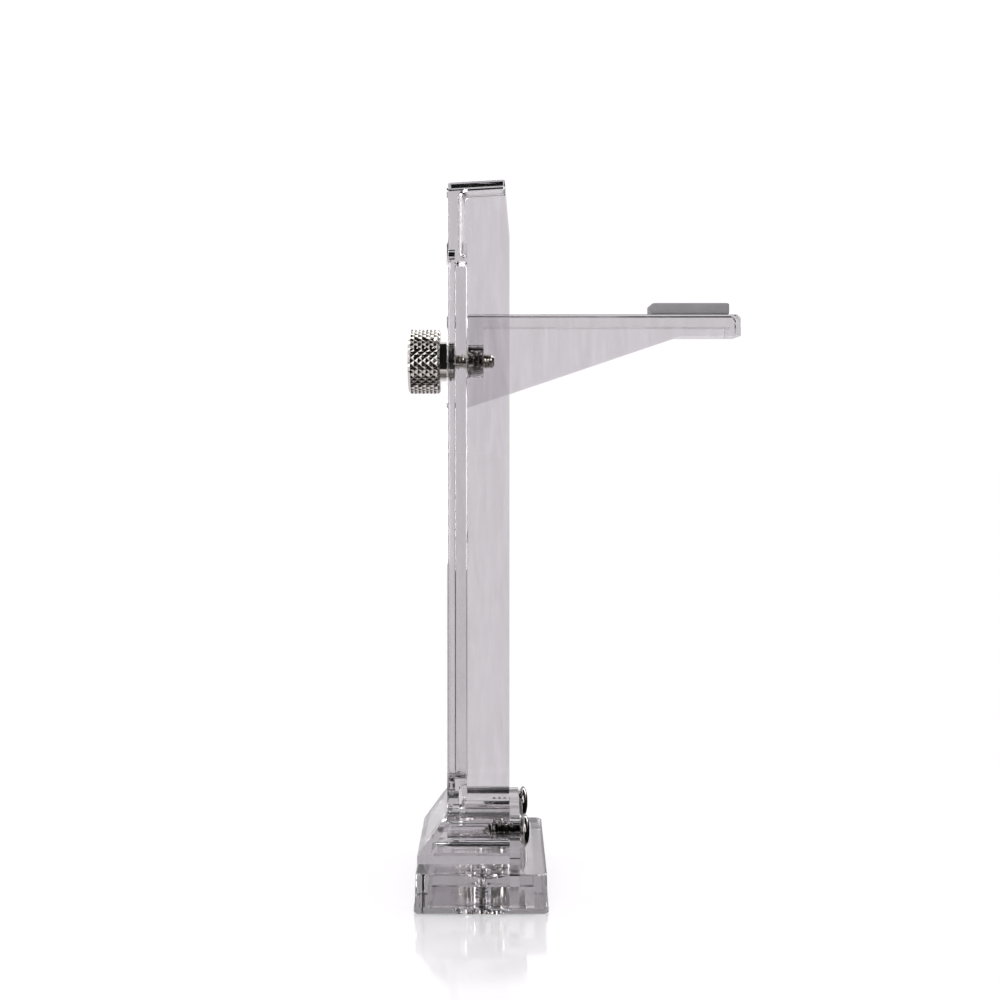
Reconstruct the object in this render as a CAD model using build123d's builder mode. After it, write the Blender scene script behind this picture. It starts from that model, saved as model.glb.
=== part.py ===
from build123d import *
import math
import os

os.makedirs("parts", exist_ok=True)

# All sizes in millimetres. Origin at the centre of the base's underside, Z up, the arm points along +X.

# Fits and clearances
slide_gap = 0.2  # arm to the sides of the channel
clamp_gap = 0.1  # arm root to the slot rim
seat_gap = 0.05  # air film between seated pieces, collar to recess floor, screws in their holes
screw_gap = 0.3  # clamping screw in the slot, plate screws in the plate
pick = 0.01  # reach of the edge selectors

# Clamping hardware
thread_d = 4.0
clamp_z = 130.3
head_d = 16.0
head_len = 7.9
head_chamfer = 0.6
head_end_x = -18.3
collar_d = 9.8
tip_overhang = 2.6
thread_chamfer = 0.5
insert_d = 8.0
insert_flange_t = 0.9
insert_groove_t = 0.4
insert_groove = 0.35
insert_chamfer = 0.3

# Base shell, bottom plate and magnet
plate_x = 31.7
plate_y = 60.0
plate_t = 1.4
plate_edge = 0.3
shell_step = 0.2
shell_h = 7.8
shell_draft = 1.6
shell_corner = 1.8
shell_wall = 3.1
shell_roof = 3.4
shell_edge = 0.3
magnet_d = 12.0
magnet_floor = 0.75
magnet_sink = 2.0
magnet_ring_t = 1.2
magnet_ring_h = 1.5
plate_screw_edge = 7.5
plate_screw_d = 1.6
plate_screw_len = 6.5
plate_screw_head = 3.8
plate_screw_sink = 0.15
plate_boss_d = 4.4
plate_pilot_over = 0.6

# Upright wall and the two screws that hold the foot to it
upright_t = 2.4
upright_inset = 0.6
base_screw_d = 3.1
base_screw_len = 9.2
base_screw_tip = 2.2
base_screw_hole = 4.6
base_screw_head_d = 8.0
base_screw_head_h = 2.4
pan_rim_h = 1.1
pan_crown_d = 5.0
foot_boss_d = 7.4
foot_pilot_len = 15.0

# Column
column_w = 22.0
column_depth = 15.3
column_front_x = -8.55
column_top_z = 174.2
column_top_fall = 0.8
column_top_t = 1.2
taper_len = 13.5
taper_x = 1.2
column_edge = 0.8
top_edge = 0.5
front_t = 2.7
flange_t = 2.5
channel_r = 2.4
channel_corner = 2.0
slot_low_z = 26.5
slot_top_gap = 19.2
recess_gap = 0.4
recess_depth = 1.85
rim_end = 5.3
rim_bulge = 1.0
rim_h = 2.13
slot_edge = 0.5

# Foot of the column
foot_w = 40.4
foot_toe_x = -15.45
foot_toe_h = 2.0
foot_h = 11.5
foot_shoulder_r = 4.3
foot_wall = 2.4
neck_r = 1.0

# Arm and pad
root_t = 4.0
root_corner = 0.5
root_above = 11.35
root_below = 11.6
arm_tip_x = 63.5
arm_knee_x = 48.5
arm_top_t = 3.0
arm_tip_h = 5.3
arm_side_t = 2.2
arm_end_t = 2.7
arm_tip_r = 1.4
arm_edge = 0.5
pad_start_x = 41.7
pad_len = 19.1
pad_w = 15.0
pad_t = 2.85
pad_corner = 1.2
pad_edge = 0.4

# Derived positions
shell_low_z = plate_t + seat_gap
base_top_z = shell_low_z + shell_h
foot_low_z = base_top_z + seat_gap
roof_z = base_top_z - shell_roof
shell_x = plate_x - 2 * shell_step
shell_y = plate_y - 2 * shell_step
column_rear_x = column_front_x + column_depth
front_rear_x = column_front_x + front_t
recess_floor_x = column_front_x + recess_depth
rim_x = front_rear_x + rim_h
channel_w = column_w - 2 * flange_t
column_top_front = column_top_z - column_top_fall
taper_z = column_top_z - taper_len
slot_w = thread_d + 2 * screw_gap
slot_high_z = column_top_z - slot_top_gap
slot_len = slot_high_z - slot_low_z
slot_mid_z = (slot_high_z + slot_low_z) / 2
recess_w = collar_d + 2 * recess_gap
recess_over = (recess_w - slot_w) / 2
upright_front_x = column_rear_x + seat_gap
upright_x = upright_front_x + upright_t
plate_screw_y = plate_y / 2 - plate_screw_edge
shoulder_z = base_top_z + foot_h
base_screw_y = foot_w / 2 - foot_shoulder_r
base_screw_z = shoulder_z - foot_shoulder_r
toe_z = base_top_z + foot_toe_h
root_x = rim_x + clamp_gap
root_rear_x = root_x + root_t
arm_w = channel_w - 2 * slide_gap
arm_top_z = clamp_z + root_above
arm_low_z = clamp_z - root_below
collar_end_x = recess_floor_x - seat_gap
head_rear_x = head_end_x + head_len
insert_x = root_x + seat_gap
insert_end_x = root_rear_x - seat_gap
thread_end_x = root_rear_x + tip_overhang

# Column with its foot, one moulding that is open at the back
foot_lean = (column_front_x - foot_toe_x) / (shoulder_z - toe_z)
foot_skin = foot_wall * math.hypot(1, foot_lean)
foot_floor_z = base_top_z + foot_wall
foot_roof_z = shoulder_z - foot_wall
foot_floor_x = foot_toe_x + foot_skin + (foot_floor_z - toe_z) * foot_lean
foot_roof_x = foot_toe_x + foot_skin + (foot_roof_z - toe_z) * foot_lean
top_rise = column_top_fall / (column_depth - taper_x)
roof_front_z = column_top_front + top_rise * front_t - column_top_t
roof_rear_z = column_top_front + top_rise * column_depth - column_top_t

with BuildPart() as column:
    # Mast seen from the side, with the back edge leaning in at the top
    with BuildSketch(Plane.XZ):
        with BuildLine():
            Polyline(
                (column_front_x, foot_roof_z),
                (column_front_x, column_top_front),
                (column_rear_x - taper_x, column_top_z),
                (column_rear_x, taper_z),
                (column_rear_x, foot_roof_z),
                close=True,
            )
        make_face()
    extrude(amount=column_w / 2, both=True)
    fillet(column.edges().filter_by(Axis.Z).group_by(Axis.X)[0], column_edge)
    # Channel in which the arm slides
    with BuildSketch(Plane.XZ) as channel_side:
        with BuildLine():
            Polyline(
                (front_rear_x, foot_roof_z),
                (front_rear_x, roof_front_z),
                (column_rear_x, roof_rear_z),
                (column_rear_x, foot_roof_z),
                close=True,
            )
        make_face()
        fillet(channel_side.vertices().group_by(Axis.X)[0].sort_by(Axis.Y)[-1], channel_r)
    extrude(amount=channel_w / 2, both=True, mode=Mode.SUBTRACT)
    deep_edges = column.edges().filter_by_position(Axis.X, column_front_x, column_rear_x / 2)
    deep_edges = deep_edges.filter_by_position(Axis.Z, foot_roof_z + pick, column_top_z)
    near_edges = deep_edges.filter_by_position(Axis.Y, -channel_w / 2 - pick, -channel_w / 2 + pick)
    far_edges = deep_edges.filter_by_position(Axis.Y, channel_w / 2 - pick, channel_w / 2 + pick)
    fillet(near_edges + far_edges, channel_corner)
    # Rim behind the slot, rounded at its ends and let into the flanges
    with BuildSketch(Plane.YZ.offset(front_rear_x)):
        with Locations((0, slot_mid_z)):
            SlotOverall(slot_len + 2 * rim_end, channel_w + 2 * rim_bulge, rotation=90)
    extrude(amount=rim_h)
    # Foot with shoulders rounded about the two screws
    with BuildSketch(Plane.YZ.offset(foot_toe_x)) as foot_outline:
        with Locations((0, (foot_low_z + shoulder_z) / 2)):
            Rectangle(foot_w, shoulder_z - foot_low_z)
        fillet(foot_outline.vertices().group_by(Axis.Y)[-1], foot_shoulder_r)
    extrude(amount=column_rear_x - foot_toe_x)
    # Hollow of the foot, open to the channel above it
    with BuildSketch(Plane.XZ):
        with BuildLine():
            Polyline(
                (foot_floor_x, foot_floor_z),
                (foot_roof_x, foot_roof_z),
                (column_rear_x, foot_roof_z),
                (column_rear_x, foot_floor_z),
                close=True,
            )
        make_face()
    extrude(amount=foot_w / 2 - foot_wall, both=True, mode=Mode.SUBTRACT)
    with BuildSketch(Plane.XY.offset(foot_roof_z)) as opening:
        with Locations(((front_rear_x + column_rear_x) / 2, 0)):
            Rectangle(column_rear_x - front_rear_x, channel_w)
        fillet(opening.vertices().group_by(Axis.X)[0], channel_corner)
    extrude(amount=shoulder_z - foot_roof_z, mode=Mode.SUBTRACT)
    # Screw bosses run through to the front wall, then the slope trims wall and bosses together
    with BuildSketch(Plane.YZ.offset(column_rear_x)):
        with Locations((-base_screw_y, base_screw_z), (base_screw_y, base_screw_z)):
            Circle(foot_boss_d / 2)
    extrude(amount=-(column_rear_x - foot_toe_x - foot_wall))
    with BuildSketch(Plane.XZ):
        with BuildLine():
            Polyline(
                (foot_toe_x, toe_z),
                (column_front_x, shoulder_z),
                (foot_toe_x, shoulder_z),
                close=True,
            )
        make_face()
    extrude(amount=foot_w / 2, both=True, mode=Mode.SUBTRACT)
    with BuildSketch(Plane.YZ.offset(column_rear_x)):
        with Locations((-base_screw_y, base_screw_z), (base_screw_y, base_screw_z)):
            Circle(base_screw_d / 2 + seat_gap)
    extrude(amount=-foot_pilot_len, mode=Mode.SUBTRACT)
    # Recess for the collar and the slot through wall and rim
    with BuildSketch(Plane.YZ.offset(column_front_x)):
        with Locations((0, slot_mid_z)):
            SlotOverall(slot_len + 2 * recess_over, recess_w, rotation=90)
    extrude(amount=recess_depth, mode=Mode.SUBTRACT)
    with BuildSketch(Plane.YZ.offset(column_front_x)):
        with Locations((0, slot_mid_z)):
            SlotOverall(slot_len, slot_w, rotation=90)
    extrude(amount=rim_x - column_front_x, mode=Mode.SUBTRACT)
    # Rounded junction of mast and foot, and rounded top edges
    level_edges = column.edges().filter_by_position(Axis.Z, shoulder_z - pick, shoulder_z + pick)
    neck_y = column_w / 2 + pick
    neck_edges = level_edges.filter_by_position(Axis.Y, -neck_y, neck_y)
    fillet(neck_edges.sort_by(SortBy.LENGTH), neck_r)
    fillet(column.faces().sort_by(Axis.Z)[-1].edges(), top_edge)
    # Rounded edges of the slot in the rim and in the recess floor
    rim_edges = column.edges().filter_by_position(Axis.X, rim_x - pick, rim_x + pick)
    slot_edges = rim_edges.filter_by_position(Axis.Y, -slot_w / 2 - pick, slot_w / 2 + pick)
    fillet(slot_edges.filter_by_position(Axis.Z, slot_low_z - pick, slot_high_z + pick), slot_edge)
    floor_edges = column.edges().filter_by_position(Axis.X, recess_floor_x - pick, recess_floor_x + pick)
    slot_edges = floor_edges.filter_by_position(Axis.Y, -slot_w / 2 - pick, slot_w / 2 + pick)
    fillet(slot_edges.filter_by_position(Axis.Z, slot_low_z - pick, slot_high_z + pick), slot_edge)
column.part.label = "column"
export_step(column.part, "parts/column.step")

# Base shell, open underneath, with the upright wall behind the foot
with BuildPart() as base:
    with BuildSketch(Plane.XY.offset(shell_low_z)):
        RectangleRounded(shell_x, shell_y, shell_corner)
    extrude(amount=shell_h, taper=shell_draft)
    chamfer(base.faces().sort_by(Axis.Z)[-1].edges(), shell_edge)
    with BuildSketch(Plane.XY.offset(shell_low_z)):
        Rectangle(shell_x - 2 * shell_wall, shell_y - 2 * shell_wall)
    extrude(amount=roof_z - shell_low_z, mode=Mode.SUBTRACT)
    # Pocket in the roof for the top of the magnet
    with BuildSketch(Plane.XY.offset(roof_z)):
        Circle(magnet_d / 2 + seat_gap)
    extrude(amount=magnet_sink, mode=Mode.SUBTRACT)
    # Bosses for the plate screws
    with BuildSketch(Plane.XY.offset(shell_low_z)):
        with Locations((0, -plate_screw_y), (0, plate_screw_y)):
            Circle(plate_boss_d / 2)
    extrude(amount=roof_z - shell_low_z)
    with BuildSketch(Plane.XY.offset(shell_low_z)):
        with Locations((0, -plate_screw_y), (0, plate_screw_y)):
            Circle(plate_screw_d / 2 + seat_gap)
    extrude(amount=plate_screw_len + plate_screw_sink + plate_pilot_over - shell_low_z, mode=Mode.SUBTRACT)
    # Upright wall with two clearance holes
    with BuildSketch(Plane.YZ.offset(upright_front_x)) as upright_outline:
        with Locations((0, (base_top_z - shell_edge + shoulder_z - upright_inset) / 2)):
            Rectangle(foot_w - 2 * upright_inset, foot_h - upright_inset + shell_edge)
        fillet(upright_outline.vertices().group_by(Axis.Y)[-1], foot_shoulder_r - upright_inset)
        with Locations((-base_screw_y, base_screw_z), (base_screw_y, base_screw_z)):
            Circle(base_screw_hole / 2, mode=Mode.SUBTRACT)
    extrude(amount=upright_t)
base.part.label = "base"
export_step(base.part, "parts/base.step")

# Bottom plate with the ring that holds the magnet
with BuildPart() as base_plate:
    with BuildSketch(Plane.XY):
        RectangleRounded(plate_x, plate_y, shell_corner)
    extrude(amount=plate_t)
    chamfer(base_plate.faces().sort_by(Axis.Z)[0].edges(), plate_edge)
    with BuildSketch(Plane.XY.offset(plate_t)):
        Circle(magnet_d / 2 + seat_gap + magnet_ring_t)
    extrude(amount=magnet_ring_h)
    with BuildSketch(Plane.XY.offset(magnet_floor)):
        Circle(magnet_d / 2 + seat_gap)
    extrude(amount=plate_t + magnet_ring_h - magnet_floor, mode=Mode.SUBTRACT)
    with Locations(Plane.XY.rotated((180, 0, 0))):
        with Locations((0, -plate_screw_y), (0, plate_screw_y)):
            CounterSinkHole(
                plate_screw_d / 2 + screw_gap,
                plate_screw_head / 2 + plate_screw_sink + seat_gap,
                depth=plate_t,
            )
base_plate.part.label = "base_plate"
export_step(base_plate.part, "parts/base_plate.step")

# Magnet, trapped between the plate and the roof of the shell
with BuildPart() as magnet:
    with BuildSketch(Plane.XY.offset(magnet_floor + seat_gap)):
        Circle(magnet_d / 2)
    extrude(amount=roof_z + magnet_sink - magnet_floor - 2 * seat_gap)
magnet.part.label = "magnet"
export_step(magnet.part, "parts/magnet.step")

# Countersunk plate screws, driven up from below
cone_h = plate_screw_head / 2 - plate_screw_d / 2
with BuildPart() as plate_screws:
    with BuildSketch(Plane.XZ.offset(plate_screw_y)):
        with BuildLine():
            Polyline(
                (0, plate_screw_sink),
                (plate_screw_head / 2, plate_screw_sink),
                (plate_screw_d / 2, plate_screw_sink + cone_h),
                (plate_screw_d / 2, plate_screw_sink + plate_screw_len),
                (0, plate_screw_sink + plate_screw_len),
                close=True,
            )
        make_face()
    revolve(axis=Axis((0, -plate_screw_y, 0), (0, 0, 1)))
    mirror(about=Plane.XZ)
plate_screws.part.label = "plate_screws"
export_step(plate_screws.part, "parts/plate_screws.step")

# Pan head screws through the upright wall into the foot
pan_r = base_screw_head_d / 2
pan_end_x = upright_x + base_screw_head_h
screw_end_x = upright_x - base_screw_len
with BuildPart() as base_screws:
    with BuildSketch(Plane.XZ.offset(base_screw_y)):
        with BuildLine():
            Polyline(
                (pan_end_x, base_screw_z),
                (screw_end_x, base_screw_z),
                (screw_end_x + base_screw_tip, base_screw_z + base_screw_d / 2),
                (upright_x, base_screw_z + base_screw_d / 2),
                (upright_x, base_screw_z + pan_r),
                (upright_x + pan_rim_h, base_screw_z + pan_r),
                (pan_end_x, base_screw_z + pan_crown_d / 2),
                close=True,
            )
        make_face()
    revolve(axis=Axis((0, -base_screw_y, base_screw_z), (1, 0, 0)))
    mirror(about=Plane.XZ)
base_screws.part.label = "base_screws"
export_step(base_screws.part, "parts/base_screws.step")

# Arm, a trough open underneath with a thick root wall for the clamping screw
with BuildPart() as arm:
    with BuildSketch(Plane.XZ) as arm_side:
        with BuildLine():
            Polyline(
                (root_x, arm_low_z),
                (root_x, arm_top_z),
                (arm_tip_x, arm_top_z),
                (arm_tip_x, arm_top_z - arm_tip_h),
                (arm_knee_x, arm_top_z - arm_tip_h),
                close=True,
            )
        make_face()
        fillet(arm_side.vertices().group_by(Axis.X)[-1].sort_by(Axis.Y)[-1], arm_tip_r)
    extrude(amount=arm_w / 2, both=True)
    with BuildSketch(Plane.XZ):
        with BuildLine():
            Polyline(
                (root_rear_x, arm_low_z),
                (root_rear_x, arm_top_z - arm_top_t),
                (arm_tip_x - arm_end_t, arm_top_z - arm_top_t),
                (arm_tip_x - arm_end_t, arm_low_z),
                close=True,
            )
        make_face()
    extrude(amount=arm_w / 2 - arm_side_t, both=True, mode=Mode.SUBTRACT)
    fillet(arm.faces().sort_by(Axis.Z)[-1].edges().filter_by(Axis.X), arm_edge)
    fillet(arm.edges().filter_by(Axis.Z).group_by(Axis.X)[0], root_corner)
    # Bore for the threaded insert
    with BuildSketch(Plane.YZ.offset(root_x)):
        with Locations((0, clamp_z)):
            Circle(insert_d / 2 + seat_gap)
    extrude(amount=root_t, mode=Mode.SUBTRACT)
arm.part.label = "arm"
export_step(arm.part, "parts/arm.step")

# Rubber pad that the card rests on
with BuildPart() as pad:
    with BuildSketch(Plane.XY.offset(arm_top_z)):
        with Locations((pad_start_x + pad_len / 2, 0)):
            RectangleRounded(pad_len, pad_w, pad_corner)
    extrude(amount=pad_t)
    chamfer(pad.faces().sort_by(Axis.Z)[-1].edges(), pad_edge)
pad.part.label = "pad"
export_step(pad.part, "parts/pad.step")

# Thumbscrew turned in one piece: head, collar and thread
with BuildPart() as thumbscrew:
    with BuildSketch(Plane.XZ):
        with BuildLine():
            Polyline(
                (head_end_x, clamp_z),
                (head_end_x, clamp_z + head_d / 2 - head_chamfer),
                (head_end_x + head_chamfer, clamp_z + head_d / 2),
                (head_rear_x - head_chamfer, clamp_z + head_d / 2),
                (head_rear_x, clamp_z + head_d / 2 - head_chamfer),
                (head_rear_x, clamp_z + collar_d / 2),
                (collar_end_x, clamp_z + collar_d / 2),
                (collar_end_x, clamp_z + thread_d / 2),
                (thread_end_x - thread_chamfer, clamp_z + thread_d / 2),
                (thread_end_x, clamp_z + thread_d / 2 - thread_chamfer),
                (thread_end_x, clamp_z),
                close=True,
            )
        make_face()
    revolve(axis=Axis((0, 0, clamp_z), (1, 0, 0)))
thumbscrew.part.label = "thumbscrew"
export_step(thumbscrew.part, "parts/thumbscrew.step")

# Threaded insert pressed into the arm's root, with a groove behind its flange
insert_r = insert_d / 2
bore_r = thread_d / 2 + seat_gap
groove_x = insert_x + insert_flange_t
with BuildPart() as insert:
    with BuildSketch(Plane.XZ):
        with BuildLine():
            Polyline(
                (insert_x, clamp_z + bore_r),
                (insert_x, clamp_z + insert_r - insert_chamfer),
                (insert_x + insert_chamfer, clamp_z + insert_r),
                (groove_x, clamp_z + insert_r),
                (groove_x, clamp_z + insert_r - insert_groove),
                (groove_x + insert_groove_t, clamp_z + insert_r - insert_groove),
                (groove_x + insert_groove_t, clamp_z + insert_r),
                (insert_end_x - insert_chamfer, clamp_z + insert_r),
                (insert_end_x, clamp_z + insert_r - insert_chamfer),
                (insert_end_x, clamp_z + bore_r),
                close=True,
            )
        make_face()
    revolve(axis=Axis((0, 0, clamp_z), (1, 0, 0)))
insert.part.label = "insert"
export_step(insert.part, "parts/insert.step")
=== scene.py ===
import math

import bmesh
import bpy
from mathutils import Matrix, Vector


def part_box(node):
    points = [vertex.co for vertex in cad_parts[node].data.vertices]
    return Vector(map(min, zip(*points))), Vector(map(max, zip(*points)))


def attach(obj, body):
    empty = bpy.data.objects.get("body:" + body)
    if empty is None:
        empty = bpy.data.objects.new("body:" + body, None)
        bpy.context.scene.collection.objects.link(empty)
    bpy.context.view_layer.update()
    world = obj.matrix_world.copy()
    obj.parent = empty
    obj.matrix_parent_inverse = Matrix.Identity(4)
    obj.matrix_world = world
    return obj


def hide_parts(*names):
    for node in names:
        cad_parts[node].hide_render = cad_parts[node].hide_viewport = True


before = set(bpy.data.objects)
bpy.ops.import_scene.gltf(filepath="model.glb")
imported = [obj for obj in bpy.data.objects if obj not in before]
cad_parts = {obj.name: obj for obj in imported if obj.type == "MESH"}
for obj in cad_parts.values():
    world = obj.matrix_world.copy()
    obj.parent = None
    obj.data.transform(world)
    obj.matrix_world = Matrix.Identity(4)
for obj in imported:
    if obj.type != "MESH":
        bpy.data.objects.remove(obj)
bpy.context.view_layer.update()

bl_info = {
    "name": "Graphics card support bracket",
    "version": (1, 0, 0),
    "blender": (4, 5, 0),
    "location": "View3D > Sidebar > Bracket",
    "description": "Dresses the packed bracket: clear mouldings, plated hardware, rubber pad, pale studio",
    "category": "Object",
}

MM = 0.001


def linear(hex_colour):
    """Linear RGBA of an sRGB hex colour."""
    channels = [int(hex_colour[i : i + 2], 16) / 255 for i in (1, 3, 5)]
    return [c / 12.92 if c <= 0.04045 else ((c + 0.055) / 1.055) ** 2.4 for c in channels] + [1.0]


def add_node(tree, kind, inputs=None, **settings):
    """Adds a node, sets its options, and fills or links its inputs."""
    node = tree.nodes.new(kind)
    for option, value in settings.items():
        setattr(node, option, value)
    for socket, value in (inputs or {}).items():
        if isinstance(value, bpy.types.NodeSocket):
            tree.links.new(value, node.inputs[socket])
        else:
            node.inputs[socket].default_value = value
    return node


def new_material(name):
    """An empty node material and its tree."""
    material = bpy.data.materials.new(name)
    material.use_nodes = True
    material.node_tree.nodes.clear()
    return material, material.node_tree


# Sizes and colours that a user would change


class BracketSizes(bpy.types.PropertyGroup):
    """Sizes of the details that the solids leave plain."""

    head_length: bpy.props.FloatProperty(
        name="Head length", description="Length of the thumbscrew's head", default=7.9 * MM, unit="LENGTH"
    )
    head_chamfer: bpy.props.FloatProperty(
        name="Head chamfer", description="Chamfer at both ends of the head", default=0.6 * MM, unit="LENGTH"
    )
    knurl_starts: bpy.props.IntProperty(
        name="Knurl starts", description="Grooves round the head in each direction", default=33
    )
    knurl_rows: bpy.props.IntProperty(
        name="Knurl rows", description="Half diamonds along the head", default=7
    )
    knurl_depth: bpy.props.FloatProperty(
        name="Knurl depth", description="Height of a diamond over its groove", default=0.3 * MM, unit="LENGTH"
    )
    knurl_flat: bpy.props.FloatProperty(
        name="Knurl flat", description="Share of each point that is rolled flat", subtype="FACTOR",
        default=0.2,
    )
    insert_bite: bpy.props.FloatProperty(
        name="Insert bite", description="How far the insert's knurl bites into the plastic",
        default=0.12 * MM, unit="LENGTH",
    )
    insert_starts: bpy.props.IntProperty(
        name="Insert starts", description="Grooves round the insert in each direction", default=18
    )
    insert_rows: bpy.props.IntProperty(
        name="Insert rows", description="Half diamonds along the insert", default=2
    )
    insert_depth: bpy.props.FloatProperty(
        name="Insert knurl depth", description="Height of the insert's diamonds",
        default=0.5 * MM, unit="LENGTH",
    )
    collar_diameter: bpy.props.FloatProperty(
        name="Collar", description="Diameter of the collar that runs in the recess",
        default=9.8 * MM, unit="LENGTH",
    )
    collar_length: bpy.props.FloatProperty(
        name="Collar length", description="From the head to the recess floor",
        default=3.65 * MM, unit="LENGTH",
    )
    clamp_thread: bpy.props.FloatProperty(
        name="Clamp thread", description="Outer diameter of the M4 thread", default=4.0 * MM, unit="LENGTH"
    )
    clamp_pitch: bpy.props.FloatProperty(
        name="Clamp pitch", description="Pitch of the M4 thread", default=0.7 * MM, unit="LENGTH"
    )
    pan_thread: bpy.props.FloatProperty(
        name="Pan screw thread", description="Outer diameter of the tapping thread",
        default=4.2 * MM, unit="LENGTH",
    )
    pan_pitch: bpy.props.FloatProperty(
        name="Pan screw pitch", description="Pitch of the tapping thread", default=1.4 * MM, unit="LENGTH"
    )
    plate_thread: bpy.props.FloatProperty(
        name="Plate screw thread", description="Outer diameter of the small thread",
        default=2.2 * MM, unit="LENGTH",
    )
    plate_pitch: bpy.props.FloatProperty(
        name="Plate screw pitch", description="Pitch of the small thread", default=0.8 * MM, unit="LENGTH"
    )
    magnet_ribs: bpy.props.IntProperty(
        name="Magnet ribs", description="Straight ribs round the magnet's rim", default=30
    )
    rib_depth: bpy.props.FloatProperty(
        name="Rib depth", description="Depth of the grooves between the ribs",
        default=0.35 * MM, unit="LENGTH",
    )
    magnet_chamfer: bpy.props.FloatProperty(
        name="Magnet chamfer", description="Chamfer at both ends of the magnet",
        default=0.4 * MM, unit="LENGTH",
    )
    pad_corner: bpy.props.FloatProperty(
        name="Pad corner", description="Rounding of the pad's upright corners",
        default=1.2 * MM, unit="LENGTH",
    )
    pad_edge: bpy.props.FloatProperty(
        name="Pad edge", description="Rounding of the rubber pad", default=0.5 * MM, unit="LENGTH"
    )


class BracketColours(bpy.types.PropertyGroup):
    """Colours of the finishes."""

    plastic: bpy.props.FloatVectorProperty(
        name="Clear plastic", description="Tint of the clear mouldings", subtype="COLOR", size=4,
        default=linear("#FFFEFF"),
    )
    nickel: bpy.props.FloatVectorProperty(
        name="Nickel", description="Bright plating of thumbscrew and magnet", subtype="COLOR", size=4,
        default=linear("#EFEBE5"),
    )
    dull_nickel: bpy.props.FloatVectorProperty(
        name="Dull nickel", description="Thin dark plating of the small screws", subtype="COLOR", size=4,
        default=linear("#9A9794"),
    )
    satin_nickel: bpy.props.FloatVectorProperty(
        name="Satin nickel", description="Plating of the threaded insert", subtype="COLOR", size=4,
        default=linear("#C8C4BE"),
    )
    rubber: bpy.props.FloatVectorProperty(
        name="Rubber", description="Sponge rubber of the pad", subtype="COLOR", size=4,
        default=linear("#979798"),
    )
    floor: bpy.props.FloatVectorProperty(
        name="Floor", description="Pale studio floor", subtype="COLOR", size=4,
        default=linear("#F2F2F2"),
    )


class BracketStage(bpy.types.PropertyGroup):
    """Camera and light."""

    lens: bpy.props.FloatProperty(name="Lens", description="Focal length in mm", default=62.21)
    camera_place: bpy.props.FloatVectorProperty(
        name="Camera", description="Where the camera stands", subtype="TRANSLATION", unit="LENGTH",
        default=(0.00442, -0.43205, 0.11504),
    )
    camera_pitch: bpy.props.FloatProperty(
        name="Pitch", description="How far the camera looks down", subtype="ANGLE", default=math.radians(1.23)
    )
    camera_rise: bpy.props.FloatProperty(
        name="Rise", description="Vertical shift of the lens as a share of the picture", default=-0.04
    )
    sky: bpy.props.FloatProperty(
        name="Surround", description="Strength of the light grey surround", default=0.79
    )
    backdrop: bpy.props.FloatProperty(
        name="Backdrop", description="Strength of the white behind it", default=1.06
    )
    floor_lift: bpy.props.FloatProperty(
        name="Floor lift", description="How much the floor is lifted to the backdrop's white", default=0.35
    )
    polish: bpy.props.FloatProperty(
        name="Floor polish", description="How much the floor mirrors the base", subtype="FACTOR", default=0.6
    )
    polish_near: bpy.props.FloatProperty(
        name="Polish near", description="Up to here the floor is fully polished",
        default=30 * MM, unit="LENGTH",
    )
    polish_far: bpy.props.FloatProperty(
        name="Polish far", description="From here on the floor is matt", default=110 * MM, unit="LENGTH"
    )
    # Painted light: a glow on the far floor for what shows through the plastic, none round the base
    floor_glow_painted: bpy.props.FloatProperty(
        name="Floor fill", description="Lift of the far floor as it shows through the plastic", default=0.08
    )
    softbox: bpy.props.FloatProperty(
        name="Softbox", description="Power of the overhead softbox", default=5.3, unit="POWER"
    )
    strip: bpy.props.FloatProperty(
        name="Cards", description="Power of each tall card beside it", default=2.4, unit="POWER"
    )


# Finishes


def clear_acrylic(tint):
    """Injection-moulded clear acrylic, polished by the tool: sharp see-through gloss with dark refracting
    edges, a faint grey tint, and slow flow waves that bend what shows through it."""
    material, tree = new_material("clear_moulded_acrylic")
    place = add_node(tree, "ShaderNodeTexCoord").outputs["Object"]
    # Flow waves about 9 mm long, fine handling haze about 1.5 mm across
    waves = add_node(tree, "ShaderNodeTexNoise", {"Vector": place, "Scale": 1 / (9 * MM), "Detail": 2.0})
    haze = add_node(tree, "ShaderNodeTexNoise", {"Vector": place, "Scale": 1 / (1.5 * MM), "Detail": 4.0})
    rough = add_node(
        tree, "ShaderNodeMapRange",
        {"Value": haze.outputs["Fac"], "From Min": 0.3, "From Max": 0.7, "To Min": 0.0, "To Max": 0.025},
    )
    bump = add_node(
        tree, "ShaderNodeBump", {"Height": waves.outputs["Fac"], "Strength": 0.06, "Distance": 0.3 * MM}
    )
    # Upright flow lines about 2.5 mm apart and 15 mm long, where the plastic is a little less clear
    drawn = add_node(tree, "ShaderNodeMapping", {"Vector": place, "Scale": (1.0, 1.0, 2.5 / 15)})
    lines = add_node(
        tree, "ShaderNodeTexNoise",
        {"Vector": drawn.outputs["Vector"], "Scale": 1 / (2.5 * MM), "Detail": 6.0, "Distortion": 0.6},
    )
    tone = add_node(tree, "ShaderNodeValToRGB", {"Fac": lines.outputs["Fac"]})
    tone.color_ramp.elements[0].position = 0.4
    tone.color_ramp.elements[0].color = [c * 0.94 for c in tint[:3]] + [1.0]
    tone.color_ramp.elements[1].position = 0.6
    tone.color_ramp.elements[1].color = tint
    shader = add_node(
        tree, "ShaderNodeBsdfPrincipled",
        {
            "Base Color": tone.outputs["Color"],
            "Roughness": rough.outputs["Result"],
            "IOR": 1.49,
            "Transmission Weight": 1.0,
            "Normal": bump.outputs["Normal"],
        },
    )
    dye = add_node(tree, "ShaderNodeVolumeAbsorption", {"Color": linear("#8C898E"), "Density": 18.0})
    add_node(
        tree, "ShaderNodeOutputMaterial",
        {"Surface": shader.outputs["BSDF"], "Volume": dye.outputs["Volume"]},
    )
    return material


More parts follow.
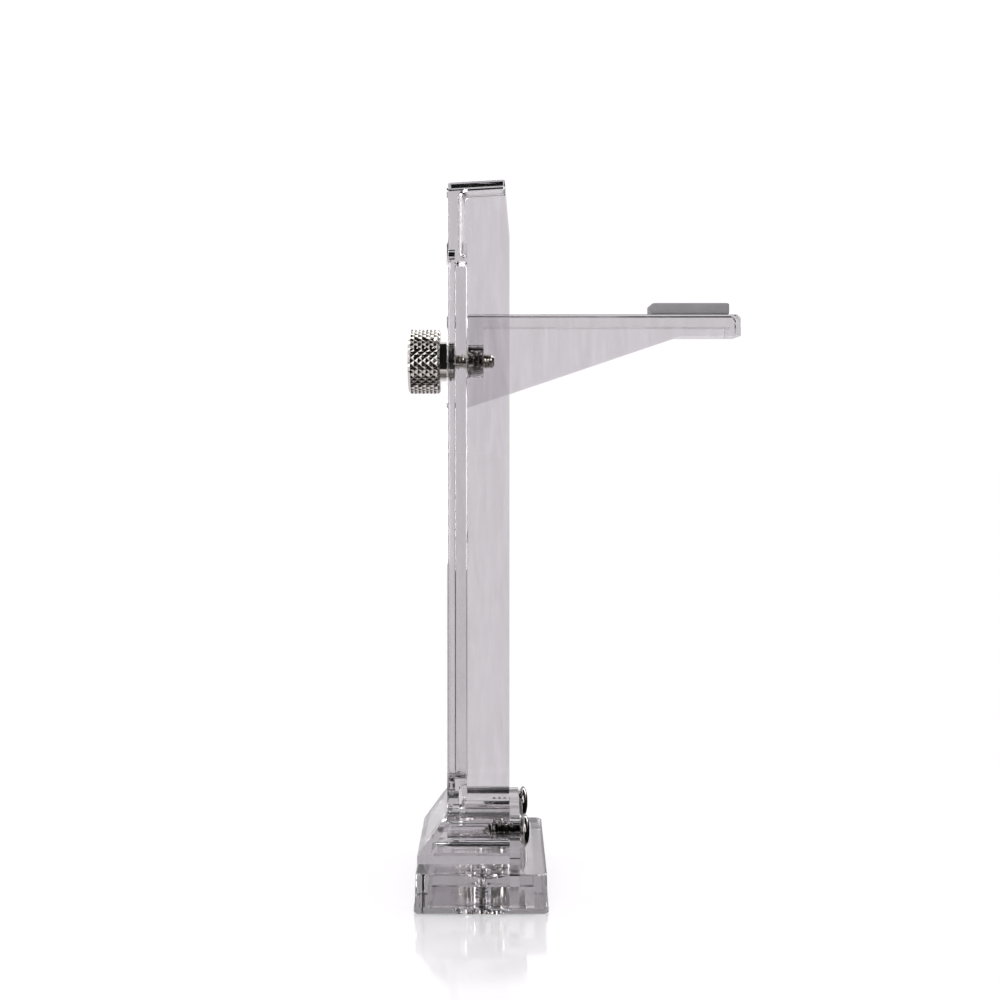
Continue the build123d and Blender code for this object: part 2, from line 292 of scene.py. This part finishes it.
def plated_nickel(name, colour, axis_place, ring_axis, ring_mm, rough_low, rough_high):
    """Bright nickel plating over turned or cold-formed steel: mirror contrast with a warm cast, fine tool
    rings round the part's axis, and slightly duller patches where it was handled."""
    material, tree = new_material(name)
    place = add_node(tree, "ShaderNodeTexCoord").outputs["Object"]
    centred = add_node(tree, "ShaderNodeMapping", {"Vector": place, "Location": -axis_place})
    rings = add_node(
        tree, "ShaderNodeTexWave",
        {
            "Vector": centred.outputs["Vector"], "Scale": 1 / (ring_mm * MM) / 20, "Distortion": 1.5,
            "Detail": 2.0,
        },
        wave_type="RINGS", rings_direction=ring_axis,
    )
    patches = add_node(tree, "ShaderNodeTexNoise", {"Vector": place, "Scale": 1 / (2.5 * MM), "Detail": 5.0})
    rough = add_node(
        tree, "ShaderNodeMapRange",
        {
            "Value": patches.outputs["Fac"], "From Min": 0.3, "From Max": 0.7, "To Min": rough_low,
            "To Max": rough_high,
        },
    )
    tone = add_node(tree, "ShaderNodeValToRGB", {"Fac": patches.outputs["Fac"]})
    tone.color_ramp.elements[0].color = [c * 0.8 for c in colour[:3]] + [1.0]
    tone.color_ramp.elements[1].color = colour
    bump = add_node(
        tree, "ShaderNodeBump", {"Height": rings.outputs["Fac"], "Strength": 0.12, "Distance": 0.02 * MM}
    )
    shader = add_node(
        tree, "ShaderNodeBsdfPrincipled",
        {
            "Base Color": tone.outputs["Color"],
            "Metallic": 1.0,
            "Roughness": rough.outputs["Result"],
            "Normal": bump.outputs["Normal"],
        },
    )
    add_node(tree, "ShaderNodeOutputMaterial", {"Surface": shader.outputs["BSDF"]})
    return material


def sponge_rubber(colour):
    """Die-cut grey sponge rubber: quite matt, with closed pores about 0.4 mm wide and a slightly uneven
    grey."""
    material, tree = new_material("grey_sponge_rubber")
    place = add_node(tree, "ShaderNodeTexCoord").outputs["Object"]
    pores = add_node(tree, "ShaderNodeTexVoronoi", {"Vector": place, "Scale": 1 / (0.4 * MM)})
    clouds = add_node(tree, "ShaderNodeTexNoise", {"Vector": place, "Scale": 1 / (3 * MM), "Detail": 4.0})
    tone = add_node(tree, "ShaderNodeValToRGB", {"Fac": clouds.outputs["Fac"]})
    tone.color_ramp.elements[0].position = 0.3
    tone.color_ramp.elements[0].color = [c * 0.92 for c in colour[:3]] + [1.0]
    tone.color_ramp.elements[1].position = 0.7
    tone.color_ramp.elements[1].color = [c * 1.06 for c in colour[:3]] + [1.0]
    bump = add_node(
        tree, "ShaderNodeBump", {"Height": pores.outputs["Distance"], "Strength": 0.2, "Distance": 0.05 * MM}
    )
    shader = add_node(
        tree, "ShaderNodeBsdfPrincipled",
        {"Base Color": tone.outputs["Color"], "Roughness": 0.85, "Normal": bump.outputs["Normal"]},
    )
    add_node(tree, "ShaderNodeOutputMaterial", {"Surface": shader.outputs["BSDF"]})
    return material


def white_laminate(colour, stage):
    """Satin white laminate: polished only round the base, where it mirrors the bracket softly, and matt
    further out. It glows evenly to white for camera rays, and for what shows through the plastic it has a
    faint painted glow far out that fades to none round the base, which paints shade there."""
    material, tree = new_material("satin_white_laminate")
    place = add_node(tree, "ShaderNodeTexCoord").outputs["Object"]
    # Slow unevenness about 40 mm across
    grain = add_node(tree, "ShaderNodeTexNoise", {"Vector": place, "Scale": 1 / (40 * MM), "Detail": 3.0})
    rough = add_node(
        tree, "ShaderNodeMapRange", {"Value": grain.outputs["Fac"], "To Min": 0.06, "To Max": 0.12}
    )
    away = add_node(tree, "ShaderNodeVectorMath", {0: place}, operation="LENGTH").outputs["Value"]
    zone = {"Value": away, "From Min": stage.polish_near, "From Max": stage.polish_far}
    polish = add_node(tree, "ShaderNodeMapRange", {**zone, "To Min": stage.polish, "To Max": 0.0})
    # Painted light: for rays through the plastic the floor glows, not at all round the base and a little far
    # out, which leaves painted shade round the base
    far_painted_glow = add_node(tree, "ShaderNodeMapRange", {**zone, "To Min": 0.0, "To Max": stage.floor_glow_painted})
    eye = add_node(tree, "ShaderNodeLightPath").outputs["Is Camera Ray"]
    lift = add_node(
        tree, "ShaderNodeMapRange",
        {"Value": eye, "To Min": far_painted_glow.outputs["Result"], "To Max": stage.floor_lift},
    )
    shader = add_node(
        tree, "ShaderNodeBsdfPrincipled",
        {
            "Base Color": colour,
            "Metallic": polish.outputs["Result"],
            "Roughness": rough.outputs["Result"],
            "Specular IOR Level": 0.0,
            "Emission Color": (1, 1, 1, 1),
            "Emission Strength": lift.outputs["Result"],
        },
    )
    add_node(tree, "ShaderNodeOutputMaterial", {"Surface": shader.outputs["BSDF"]})
    return material


def black_cloth(name, full, gone):
    """Matt black studio cloth that only reflections see: it gives metal and plastic edges their blacks, and
    thins out along Y between two distances so that its edge doesn't show."""
    material, tree = new_material(name)
    place = add_node(tree, "ShaderNodeTexCoord").outputs["Object"]
    weave = add_node(tree, "ShaderNodeTexNoise", {"Vector": place, "Scale": 1 / (5 * MM)})
    rough = add_node(
        tree, "ShaderNodeMapRange", {"Value": weave.outputs["Fac"], "To Min": 0.9, "To Max": 1.0}
    )
    shader = add_node(
        tree, "ShaderNodeBsdfPrincipled",
        {"Base Color": linear("#1A1A1A"), "Roughness": rough.outputs["Result"], "Specular IOR Level": 0.0},
    )
    # Light that only passes straight through the plastic doesn't see the cloth, nor does the floor below it
    path = add_node(tree, "ShaderNodeLightPath")
    side = add_node(tree, "ShaderNodeNewGeometry")
    bounced = add_node(
        tree, "ShaderNodeMath", {0: path.outputs["Glossy Depth"], 1: side.outputs["Backfacing"]},
        operation="GREATER_THAN",
    )
    along = add_node(tree, "ShaderNodeSeparateXYZ", {"Vector": place}).outputs["Y"]
    thick = add_node(
        tree, "ShaderNodeMapRange",
        {"Value": along, "From Min": full, "From Max": gone, "To Min": 1.0, "To Max": 0.0},
    )
    cover = add_node(
        tree, "ShaderNodeMath", {0: bounced.outputs[0], 1: thick.outputs["Result"]}, operation="MULTIPLY"
    )
    clear = add_node(tree, "ShaderNodeBsdfTransparent")
    seen = add_node(
        tree, "ShaderNodeMixShader", {0: cover.outputs[0], 1: clear.outputs[0], 2: shader.outputs[0]}
    )
    add_node(tree, "ShaderNodeOutputMaterial", {"Surface": seen.outputs["Shader"]})
    return material


# Shaping


def turned(bm, outline, steps):
    """Turns an outline of (along, radius) points about the local Z axis, closed at both ends on the axis."""
    points = [bm.verts.new((radius, 0, along)) for along, radius in outline]
    edges = [bm.edges.new(pair) for pair in zip(points, points[1:])]
    bmesh.ops.spin(
        bm, geom=points + edges, cent=(0, 0, 0), axis=(0, 0, 1), angle=2 * math.pi, steps=steps,
        use_merge=True,
    )
    bmesh.ops.remove_doubles(bm, verts=bm.verts, dist=1e-7)


def knurled(bm, start, length, chamfer, radius, starts, rows, depth, flat):
    """Rolls a closed drum with a diamond knurl along the local Z axis: rings of vertices, alternate ones
    sunk, leave four-sided points that are then cut flat."""
    around = 2 * starts
    end = radius - chamfer
    valley = radius - depth
    point = valley + depth / (1 - flat)
    rim = bmesh.ops.create_circle(bm, segments=around, radius=end)["verts"]
    bmesh.ops.translate(bm, vec=(0, 0, start), verts=rim)
    first = ring = list({e for v in rim for e in v.link_edges})
    rise = (length - 2 * chamfer) / rows
    peaks = []
    quads = []
    for row, height in enumerate([chamfer + rise * row for row in range(rows + 1)] + [length]):
        made = bmesh.ops.extrude_edge_only(bm, edges=ring)["geom"]
        verts = [g for g in made if isinstance(g, bmesh.types.BMVert)]
        ring = [g for g in made if isinstance(g, bmesh.types.BMEdge) and set(g.verts) <= set(verts)]
        for vert in verts:
            angle = math.atan2(-vert.co.x, vert.co.y)
            peak = row <= rows and (round(angle / (2 * math.pi) * around) + row) % 2 == 1
            reach = end if row > rows else point if peak else valley
            vert.co = (-reach * math.sin(angle), reach * math.cos(angle), start + height)
            if peak:
                peaks.append(vert)
        if 0 < row <= rows:
            quads += [g for g in made if isinstance(g, bmesh.types.BMFace)]
    for quad in quads:
        grooves = sorted(quad.verts, key=lambda v: math.hypot(v.co.x, v.co.y))[:2]
        bmesh.utils.face_split(quad, grooves[0], grooves[1])
    bmesh.ops.bevel(
        bm, geom=peaks, offset=100 * flat, offset_type="PERCENT", affect="VERTICES", segments=1, profile=0.5,
        material=-1,
    )
    bmesh.ops.holes_fill(bm, edges=first, sides=0)
    bmesh.ops.holes_fill(bm, edges=ring, sides=0)


def ribbed(bm, height, chamfer, radius, ribs, depth):
    """Presses a closed disc with straight ribs round its rim, standing on the local Z axis."""
    rim = bmesh.ops.create_circle(bm, segments=2 * ribs, radius=radius - depth - chamfer)["verts"]
    first = ring = list({e for v in rim for e in v.link_edges})
    for level, full in ((chamfer, True), (height - chamfer, True), (height, False)):
        made = bmesh.ops.extrude_edge_only(bm, edges=ring)["geom"]
        verts = [g for g in made if isinstance(g, bmesh.types.BMVert)]
        ring = [g for g in made if isinstance(g, bmesh.types.BMEdge) and set(g.verts) <= set(verts)]
        for vert in verts:
            angle = math.atan2(-vert.co.x, vert.co.y)
            sunk = round(angle / math.pi * ribs) % 2 * depth if full else depth + chamfer
            reach = radius - sunk
            vert.co = (-reach * math.sin(angle), reach * math.cos(angle), level)
    bmesh.ops.holes_fill(bm, edges=first, sides=0)
    bmesh.ops.holes_fill(bm, edges=ring, sides=0)


def thread(bm, start, end, core, crest, pitch, steps=28):
    """Winds a right-hand thread ridge up the local Z axis from start to end."""
    half = pitch * 0.42
    sunk = core - 0.04 * MM
    outline = ((sunk, 0, start), (crest, 0, start + half), (sunk, 0, start + 2 * half))
    flank = [bm.verts.new(point) for point in outline]
    face = bm.faces.new(flank)
    turns = (end - start - 2 * half) / pitch
    count = max(3, round(turns * steps))
    bmesh.ops.spin(
        bm, geom=flank + list(face.edges) + [face], cent=(0, 0, 0), axis=(0, 0, 1),
        angle=2 * math.pi * turns, steps=count, dvec=(0, 0, pitch * turns / count),
    )


def add_shape(bm, other):
    """Adds another shape to this one and frees it."""
    mesh = bpy.data.meshes.new("shape")
    other.to_mesh(mesh)
    other.free()
    bm.from_mesh(mesh)
    bpy.data.meshes.remove(mesh)


def tapping_thread(bm, start, end, core, crest, pitch, tip, steps):
    """Adds a thread whose ridge runs down to the axis with the screw's point, which is tip long."""
    ridge = bmesh.new()
    thread(ridge, start, end, core, crest, pitch, steps)
    for vert in ridge.verts:
        slim = min(1.0, 0.15 + 0.85 * vert.co.z / tip)
        vert.co.x *= slim
        vert.co.y *= slim
    add_shape(bm, ridge)


def set_in_pair(bm, place, lay, turn):
    """Lays the screw down at a place and a second one at its mirror place, turned about its own axis."""
    second = bm.copy()
    for shape, side, spin in ((bm, 1, 0), (second, -1, turn)):
        spot = Matrix.Translation((place.x, side * place.y, place.z))
        bmesh.ops.transform(shape, matrix=spot @ lay @ Matrix.Rotation(spin, 4, "Z"), verts=shape.verts)
    add_shape(bm, second)


def finish_piece(name, bm, material, body, node=None, matrix=None, crease=30):
    """Places the shape, turns its faces outwards, hangs it from its body and hides the CAD node it stands
    for.
    """
    if matrix is not None:
        bmesh.ops.transform(bm, matrix=matrix, verts=bm.verts)
    bmesh.ops.recalc_face_normals(bm, faces=bm.faces)
    mesh = bpy.data.meshes.new(name)
    bm.to_mesh(mesh)
    bm.free()
    mesh.shade_smooth()
    mesh.set_sharp_from_angle(angle=math.radians(crease))
    mesh.materials.append(material)
    piece = bpy.data.objects.new(name, mesh)
    bpy.context.collection.objects.link(piece)
    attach(piece, body)
    if node:
        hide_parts(node)
    return piece


def studio_piece(name, bm, material):
    mesh = bpy.data.meshes.new(name)
    bm.to_mesh(mesh)
    bm.free()
    mesh.materials.append(material)
    piece = bpy.data.objects.new(name, mesh)
    bpy.context.scene.collection.objects.link(piece)
    return piece


def dark_flag(name, cards, material):
    """Lays dark cloths on the floor, each given by its middle and half its width and depth."""
    bm = bmesh.new()
    for (x, y), (width, depth) in cards:
        card = bmesh.ops.create_grid(bm, x_segments=1, y_segments=1, size=1)["verts"]
        bmesh.ops.scale(bm, vec=(width, depth, 1), verts=card)
        bmesh.ops.translate(bm, vec=(x, y, 0.5 * MM), verts=card)
    return studio_piece(name, bm, material)


def dress(node, material):
    """Gives a CAD node its finish."""
    piece = bpy.data.objects[node]
    piece.data.materials.clear()
    piece.data.materials.append(material)


def cross_recess(bm, span, width, depth, top):
    """Cuts a cross recess into the end of a screw head that lies at top on the local Z axis."""
    mesh = bpy.data.meshes.new("head")
    bm.to_mesh(mesh)
    head = bpy.data.objects.new("head", mesh)
    tool_bm = bmesh.new()
    for turn in (0, math.pi / 2):
        made = bmesh.ops.create_cube(tool_bm, size=1)["verts"]
        bmesh.ops.scale(tool_bm, vec=(span, width, 2 * depth), verts=made)
        low = [v for v in made if v.co.z < 0]
        bmesh.ops.scale(tool_bm, vec=(0.3, 0.75, 1), verts=low)
        bmesh.ops.rotate(tool_bm, matrix=Matrix.Rotation(turn, 3, "Z"), verts=made)
        bmesh.ops.translate(tool_bm, vec=(0, 0, top), verts=made)
    tool_mesh = bpy.data.meshes.new("cross")
    tool_bm.to_mesh(tool_mesh)
    tool_bm.free()
    tool = bpy.data.objects.new("cross", tool_mesh)
    for thing in (head, tool):
        bpy.context.collection.objects.link(thing)
    cut = head.modifiers.new("recess", "BOOLEAN")
    cut.operation = "DIFFERENCE"
    cut.solver = "EXACT"
    cut.use_self = True
    cut.object = tool
    solid = head.evaluated_get(bpy.context.evaluated_depsgraph_get()).to_mesh()
    bm.clear()
    bm.from_mesh(solid)
    for thing in (head, tool):
        data = thing.data
        bpy.data.objects.remove(thing)
        bpy.data.meshes.remove(data)


# Pieces


class BRACKET_OT_mouldings(bpy.types.Operator):
    """Give the column, base, bottom plate and arm their clear plastic"""

    bl_idname = "bracket.mouldings"
    bl_label = "Clear mouldings"

    def execute(self, context):
        plastic = clear_acrylic(context.scene.bracket_colours.plastic)
        for node in ("column", "base", "base_plate", "arm"):
            dress(node, plastic)
        return {"FINISHED"}


class BRACKET_OT_thumbscrew(bpy.types.Operator):
    """Model the knurled thumbscrew"""

    bl_idname = "bracket.thumbscrew"
    bl_label = "Thumbscrew"

    def execute(self, context):
        sizes = context.scene.bracket_sizes
        low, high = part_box("thumbscrew")
        middle = (low + high) / 2
        total = high.x - low.x
        radius = (high.z - low.z) / 2
        bm = bmesh.new()
        knurled(
            bm, 0, sizes.head_length, sizes.head_chamfer, radius, sizes.knurl_starts, sizes.knurl_rows,
            sizes.knurl_depth, sizes.knurl_flat,
        )
        # Collar and thread core, turned as one, then the thread ridge
        top = total
        collar = sizes.head_length + sizes.collar_length
        core = sizes.clamp_thread / 2 - 0.61 * sizes.clamp_pitch
        wide = sizes.collar_diameter / 2
        edge = 0.25 * MM
        turned(
            bm,
            [
                (sizes.head_length - edge, 0), (sizes.head_length - edge, wide), (collar - edge, wide),
                (collar, wide - edge), (collar, core + edge), (collar + edge, core),
                (top - 2 * edge, core), (top, core - 2 * edge), (top, 0),
            ],
            64,
        )
        thread(bm, collar + 2 * edge, top - edge, core, sizes.clamp_thread / 2, sizes.clamp_pitch)
        nickel = plated_nickel(
            "nickel_plated_turned_steel", context.scene.bracket_colours.nickel, middle, "X",
            ring_mm=0.25, rough_low=0.05, rough_high=0.12,
        )
        stand = Matrix.Translation((low.x, middle.y, middle.z)) @ Matrix.Rotation(math.pi / 2, 4, "Y")
        finish_piece(
            "knurled_thumbscrew", bm, nickel, "thumbscrew", "thumbscrew", stand, crease=20
        )
        return {"FINISHED"}


class BRACKET_OT_insert(bpy.types.Operator):
    """Model the knurled threaded insert in the arm"""

    bl_idname = "bracket.insert"
    bl_label = "Threaded insert"

    def execute(self, context):
        sizes = context.scene.bracket_sizes
        low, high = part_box("insert")
        middle = (low + high) / 2
        radius = (high.z - low.z) / 2
        total = high.x - low.x
        flange = 0.9 * MM
        groove = 0.4 * MM
        neck = radius - 0.35 * MM
        edge = 0.2 * MM
        bm = bmesh.new()
        wide = radius + 0.6 * sizes.insert_bite
        turned(
            bm,
            [
                (0, 0), (0, wide - edge), (edge, wide), (flange - edge / 2, wide), (flange, wide - edge / 2),
                (flange, neck), (flange + groove + edge, neck), (flange + groove + edge, 0),
            ],
            64,
        )
        knurled(
            bm, flange + groove, total - flange - groove, edge, radius + sizes.insert_bite,
            sizes.insert_starts, sizes.insert_rows, sizes.insert_depth, sizes.knurl_flat,
        )
        nickel = plated_nickel(
            "nickel_plated_turned_brass", context.scene.bracket_colours.satin_nickel, middle, "X",
            ring_mm=0.3, rough_low=0.04, rough_high=0.1,
        )
        stand = Matrix.Translation((low.x, middle.y, middle.z)) @ Matrix.Rotation(math.pi / 2, 4, "Y")
        finish_piece("threaded_insert", bm, nickel, "arm", "insert", stand, crease=20)
        return {"FINISHED"}


class BRACKET_OT_pan_screws(bpy.types.Operator):
    """Model the two pan head screws that hold the foot"""

    bl_idname = "bracket.pan_screws"
    bl_label = "Pan head screws"

    def execute(self, context):
        sizes = context.scene.bracket_sizes
        low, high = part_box("base_screws")
        head = (high.z - low.z) / 2
        head_height = 2.4 * MM
        seat = 2.7 * MM
        flare = 0.9 * MM
        rim = 1.1 * MM
        length = high.x - low.x
        shank = length - head_height
        core = 1.55 * MM
        tip = 2.4 * MM
        film = 0.03 * MM
        nickel = plated_nickel(
            "nickel_plated_cold_formed_steel", context.scene.bracket_colours.dull_nickel, Vector((0, 0, 0)),
            "X", ring_mm=0.3, rough_low=0.05, rough_high=0.12,
        )
        bm = bmesh.new()
        # The local Z axis runs from the point to the head
        dome = [
            (shank + rim + (head_height - rim) * math.sin(a), head * math.cos(a))
            for a in [math.radians(step * 10) for step in range(9)]
        ]
        turned(
            bm,
            [(0, 0), (tip, core), (shank + film, core), (shank + film, seat)]
            + [(shank + flare, head - 0.1 * MM)] + dome + [(length, 0)],
            48,
        )
        cross_recess(bm, span=4.4 * MM, width=1.1 * MM, depth=1.8 * MM, top=length)
        tapping_thread(
            bm, 0.3 * MM, shank - 0.6 * MM, core, sizes.pan_thread / 2, sizes.pan_pitch, tip, 28
        )
        place = Vector((low.x, low.y + head, low.z + head))
        set_in_pair(bm, place, Matrix.Rotation(math.pi / 2, 4, "Y"), turn=0.6)
        finish_piece("pan_head_screws", bm, nickel, "stand", "base_screws")
        return {"FINISHED"}


class BRACKET_OT_plate_screws(bpy.types.Operator):
    """Model the two countersunk screws under the bottom plate"""

    bl_idname = "bracket.plate_screws"
    bl_label = "Plate screws"

    def execute(self, context):
        sizes = context.scene.bracket_sizes
        low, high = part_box("plate_screws")
        head = (high.x - low.x) / 2
        length = high.z - low.z
        core = 0.8 * MM
        tip = 1.5 * MM
        nickel = plated_nickel(
            "nickel_plated_small_screw", context.scene.bracket_colours.dull_nickel, Vector((0, 0, 0)), "Z",
            ring_mm=0.3, rough_low=0.08, rough_high=0.16,
        )
        bm = bmesh.new()
        # The local Z axis runs from the point to the head
        turned(
            bm,
            [
                (0, 0), (0, 0.3 * core), (tip, core), (length - head + core, core),
                (length - 0.15 * MM, head - 0.15 * MM),
                (length - 0.1 * MM, head), (length, head - 0.05 * MM), (length, 0),
            ],
            40,
        )
        cross_recess(bm, span=2.2 * MM, width=0.55 * MM, depth=1.1 * MM, top=length)
        tapping_thread(
            bm, 0.2 * MM, length - head, core, sizes.plate_thread / 2, sizes.plate_pitch, tip, 20
        )
        place = Vector((low.x + head, low.y + head, high.z))
        set_in_pair(bm, place, Matrix.Rotation(math.pi, 4, "X"), turn=0.4)
        finish_piece("countersunk_plate_screws", bm, nickel, "stand", "plate_screws")
        return {"FINISHED"}


class BRACKET_OT_magnet(bpy.types.Operator):
    """Model the disc magnet with its ribbed rim"""

    bl_idname = "bracket.magnet"
    bl_label = "Magnet"

    def execute(self, context):
        sizes = context.scene.bracket_sizes
        low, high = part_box("magnet")
        middle = (low + high) / 2
        bm = bmesh.new()
        ribbed(
            bm, high.z - low.z, sizes.magnet_chamfer, (high.x - low.x) / 2, sizes.magnet_ribs, sizes.rib_depth
        )
        nickel = plated_nickel(
            "nickel_plated_sintered_magnet", context.scene.bracket_colours.nickel, middle, "Z",
            ring_mm=0.5, rough_low=0.05, rough_high=0.12,
        )
        stand = Matrix.Translation((middle.x, middle.y, low.z))
        finish_piece("ribbed_disc_magnet", bm, nickel, "stand", "magnet", stand, crease=20)
        return {"FINISHED"}


class BRACKET_OT_pad(bpy.types.Operator):
    """Model the sponge rubber pad"""

    bl_idname = "bracket.pad"
    bl_label = "Pad"

    def execute(self, context):
        sizes = context.scene.bracket_sizes
        low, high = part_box("pad")
        film = 0.02 * MM
        size = high - low - Vector((0, 0, film))
        bm = bmesh.new()
        bmesh.ops.create_cube(bm, size=1)
        bmesh.ops.scale(bm, vec=size, verts=bm.verts)
        corners = [e for e in bm.edges if abs(e.verts[0].co.z - e.verts[1].co.z) > 0.5 * size.z]
        bmesh.ops.bevel(
            bm, geom=corners, offset=sizes.pad_corner, affect="EDGES", segments=6, profile=0.5, material=-1
        )
        level = [e for e in bm.edges if abs(e.verts[0].co.z - e.verts[1].co.z) < 1e-7]
        rims = [e for e in level if e.calc_face_angle(0) > 1]
        bmesh.ops.bevel(
            bm, geom=rims, offset=sizes.pad_edge, affect="EDGES", segments=4, profile=0.5, material=-1
        )
        bmesh.ops.translate(bm, vec=(low + high + Vector((0, 0, film))) / 2, verts=bm.verts)
        rubber = sponge_rubber(context.scene.bracket_colours.rubber)
        piece = finish_piece("sponge_rubber_pad", bm, rubber, "arm", "pad", crease=40)
        return {"FINISHED"}


class BRACKET_OT_stage(bpy.types.Operator):
    """Set the pale floor, the soft light and the camera"""

    bl_idname = "bracket.stage"
    bl_label = "Stage"

    def execute(self, context):
        scene = context.scene
        stage = scene.bracket_stage
        bm = bmesh.new()
        bmesh.ops.create_circle(bm, segments=96, radius=6.0, cap_ends=True)
        bmesh.ops.translate(bm, vec=(0, 0, -0.2 * MM), verts=bm.verts)
        floor = studio_piece("studio_floor", bm, white_laminate(scene.bracket_colours.floor, stage))

        world = bpy.data.worlds.new("white_surround")
        world.use_nodes = True
        scene.world = world
        tree = world.node_tree
        tree.nodes.clear()
        # The picture's backdrop is pure white, while the plastic shows the light grey of the room behind it
        eye = add_node(tree, "ShaderNodeLightPath").outputs["Is Camera Ray"]
        level = add_node(
            tree, "ShaderNodeMapRange", {"Value": eye, "To Min": stage.sky, "To Max": stage.backdrop}
        )
        sky = add_node(
            tree, "ShaderNodeBackground", {"Color": linear("#FFFBFF"), "Strength": level.outputs["Result"]}
        )
        add_node(tree, "ShaderNodeOutputWorld", {"Surface": sky.outputs["Background"]})

        # The lamps model the bracket alone, and the floor keeps the even light of the room
        unlit = bpy.data.collections.new("unlit_floor")
        unlit.objects.link(floor)
        unlit.collection_objects[0].light_linking.link_state = "EXCLUDE"
        lights = {
            "overhead_softbox": (stage.softbox, (0.7, 1.6), (-0.47, 0.2, 0.75), (-0.47, 0.2, 0)),
            "left_card": (stage.strip, (0.2, 0.9), (-0.75, -0.25, 0.4), (0, 0, 0.1)),
            "right_front_card": (stage.strip, (0.12, 0.9), (0.7, -0.45, 0.3), (0, 0, 0.1)),
            "right_back_card": (stage.strip, (0.12, 0.9), (0.5, 0.7, 0.4), (0, 0, 0.1)),
        }
        for name, (power, size, spot, aim) in lights.items():
            lamp = bpy.data.lights.new(name, "AREA")
            lamp.shape = "RECTANGLE"
            lamp.energy = power
            lamp.size, lamp.size_y = size
            light = bpy.data.objects.new(name, lamp)
            light.location = spot
            light.rotation_euler = (Vector(aim) - Vector(spot)).to_track_quat("-Z", "Y").to_euler()
            light.visible_diffuse = name == "overhead_softbox"
            light.light_linking.receiver_collection = unlit
            scene.collection.objects.link(light)

        # A dark half dome before the object and to its right gives the metal its blacks
        dark = black_cloth("matt_black_cloth", 2.0, 3.0)
        reach = 1.5
        facing = Vector((0.8, -0.4, 0.45))
        bm = bmesh.new()
        bmesh.ops.create_icosphere(bm, subdivisions=4, radius=reach)
        open_side = [v for v in bm.verts if v.co.dot(facing) < -0.15 * reach or v.co.y > 0.62 * reach]
        bmesh.ops.delete(bm, geom=open_side, context="VERTS")
        bmesh.ops.reverse_faces(bm, faces=bm.faces)
        dome = studio_piece("dark_dome", bm, dark)
        # The apron hides the bright floor before and beside the object from the same reflections
        frayed = black_cloth("frayed_black_cloth", 0.1, 0.68)
        apron = dark_flag("dark_apron", (((0.0, -1.72), (1.6, 1.6)), ((0.42, 0.28), (0.4, 0.4))), frayed)
        # A small dark card far behind shows as the black line in the column's roof
        roof_card = dark_flag("dark_card", (((-0.02, 1.31), (0.055, 0.09)),), dark)
        for flag in (dome, apron, roof_card):
            flag.visible_camera = False
            flag.visible_diffuse = False
            flag.visible_shadow = False

        lens = bpy.data.cameras.new("camera")
        lens.lens = stage.lens
        lens.shift_y = stage.camera_rise
        lens.clip_start = 0.01
        camera = bpy.data.objects.new("camera", lens)
        camera.location = stage.camera_place
        camera.rotation_euler = (math.pi / 2 - stage.camera_pitch, 0, 0)
        scene.collection.objects.link(camera)
        scene.camera = camera
        scene.view_settings.view_transform = "Standard"
        scene.cycles.max_bounces = 32
        scene.cycles.transmission_bounces = 32
        scene.cycles.glossy_bounces = 24
        return {"FINISHED"}


class BRACKET_PT_panel(bpy.types.Panel):
    """Lists the bracket's pieces and settings"""

    bl_label = "Bracket"
    bl_idname = "BRACKET_PT_panel"
    bl_space_type = "VIEW_3D"
    bl_region_type = "UI"
    bl_category = "Bracket"

    def draw(self, context):
        for operator in OPERATORS:
            self.layout.operator(operator.bl_idname)
        for group in ("bracket_sizes", "bracket_colours", "bracket_stage"):
            settings = getattr(context.scene, group)
            box = self.layout.box()
            for name in type(settings).__annotations__:
                box.prop(settings, name)


GROUPS = {"bracket_sizes": BracketSizes, "bracket_colours": BracketColours, "bracket_stage": BracketStage}
OPERATORS = (
    BRACKET_OT_mouldings,
    BRACKET_OT_thumbscrew,
    BRACKET_OT_insert,
    BRACKET_OT_pan_screws,
    BRACKET_OT_plate_screws,
    BRACKET_OT_magnet,
    BRACKET_OT_pad,
    BRACKET_OT_stage,
)


def register():
    for kind in (*GROUPS.values(), *OPERATORS, BRACKET_PT_panel):
        bpy.utils.register_class(kind)
    for name, kind in GROUPS.items():
        setattr(bpy.types.Scene, name, bpy.props.PointerProperty(type=kind))


def unregister():
    for name in GROUPS:
        delattr(bpy.types.Scene, name)
    for kind in reversed((*GROUPS.values(), *OPERATORS, BRACKET_PT_panel)):
        bpy.utils.unregister_class(kind)


def main():
    register()
    bpy.ops.bracket.mouldings()
    bpy.ops.bracket.thumbscrew()
    bpy.ops.bracket.insert()
    bpy.ops.bracket.pan_screws()
    bpy.ops.bracket.plate_screws()
    bpy.ops.bracket.magnet()
    bpy.ops.bracket.pad()
    bpy.ops.bracket.stage()


if __name__ == "__main__":
    main()
